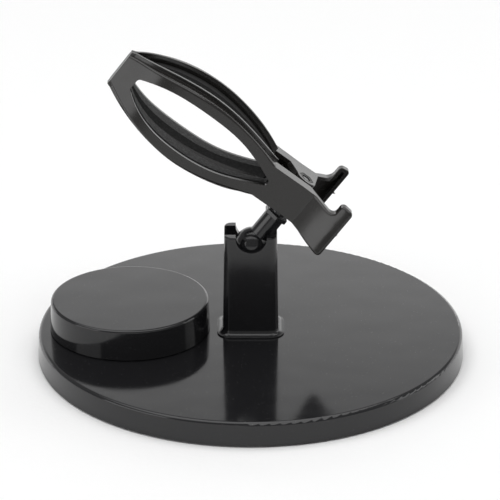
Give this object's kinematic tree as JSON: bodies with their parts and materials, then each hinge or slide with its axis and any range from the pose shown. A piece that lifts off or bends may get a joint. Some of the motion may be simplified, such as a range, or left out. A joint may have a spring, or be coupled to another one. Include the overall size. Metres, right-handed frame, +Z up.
{
  "type": "turntable display stand",
  "caption": "Weighted round base with a small raised turntable platter and a post whose ball joint carries a spring clamp with two leaf-shaped jaws.",
  "frame": {"origin": "centre of the round base, on the surface that it stands on", "axes": "+Z up, -X towards the platter, -Y towards the viewer"},
  "size_m": [0.2, 0.2, 0.1496],
  "materials": {
    "black_plastic": "glossy injection moulding",
    "black_liner": "matt, fine texture",
    "foot_rubber": "matt",
    "bright_steel": "zinc plated",
    "cage_plastic": "natural nylon"
  },
  "bodies": {
    "base": {"base_disc": "black_plastic", "base_cover": "black_plastic", "rubber_feet": "foot_rubber", "cover_screws": "bright_steel", "ballast_plate": "bright_steel", "socket_post": "black_plastic", "post_screws": "bright_steel", "lower_race": "bright_steel"},
    "ball_ring": {"bearing_cage": "cage_plastic", "bearing_balls": "bright_steel"},
    "turntable": {"platter": "black_plastic", "upper_race": "bright_steel", "spindle_screw": "bright_steel", "spindle_washer": "bright_steel"},
    "stud": {"ball_stud": "black_plastic", "stud_washer": "bright_steel"},
    "clamp_core": {"pivot_bush": "bright_steel", "torsion_spring": "bright_steel"},
    "front_clamp": {"front_jaw": "black_plastic", "front_pad": "black_liner"},
    "rear_clamp": {"rear_jaw": "black_plastic", "rear_pad": "black_liner", "pivot_nut": "bright_steel"}
  },
  "joints": [
    {"name": "platter_spin", "type": "hinge", "parent": "base", "child": "turntable", "pos_m": [-0.0566, 0, 0.015], "axis": [0, 0, 1], "continuous": true},
    {"name": "ball_ring_spin", "type": "hinge", "parent": "base", "child": "ball_ring", "pos_m": [-0.0566, 0, 0.015], "axis": [0, 0, 1], "continuous": true},
    {"name": "stud_tilt", "type": "hinge", "parent": "base", "child": "stud", "pos_m": [0.0005, 0, 0.0549], "axis": [0, 1, 0], "range_deg": [-55, 20]},
    {"name": "clamp_swivel", "type": "hinge", "parent": "stud", "child": "clamp_core", "pos_m": [0.0205, 0, 0.08096], "axis": [0.6088, 0, 0.7934], "range_deg": [-90, 90]},
    {"name": "jaw_open_front", "type": "hinge", "parent": "clamp_core", "child": "front_clamp", "pos_m": [0.0205, 0, 0.08096], "axis": [0.6088, 0, 0.7934], "range_deg": [0, 20], "stiffness_Nm_per_rad": 0.25, "springref_deg": -22.92},
    {"name": "jaw_open_rear", "type": "hinge", "parent": "clamp_core", "child": "rear_clamp", "pos_m": [0.0205, 0, 0.08096], "axis": [0.6088, 0, 0.7934], "range_deg": [-20, 0], "stiffness_Nm_per_rad": 0.25, "springref_deg": 22.92}
  ],
  "couplings": [
    {"joint": "ball_ring_spin", "follows": "platter_spin", "ratio": 0.5},
    {"joint": "jaw_open_rear", "follows": "jaw_open_front", "ratio": -1}
  ]
}
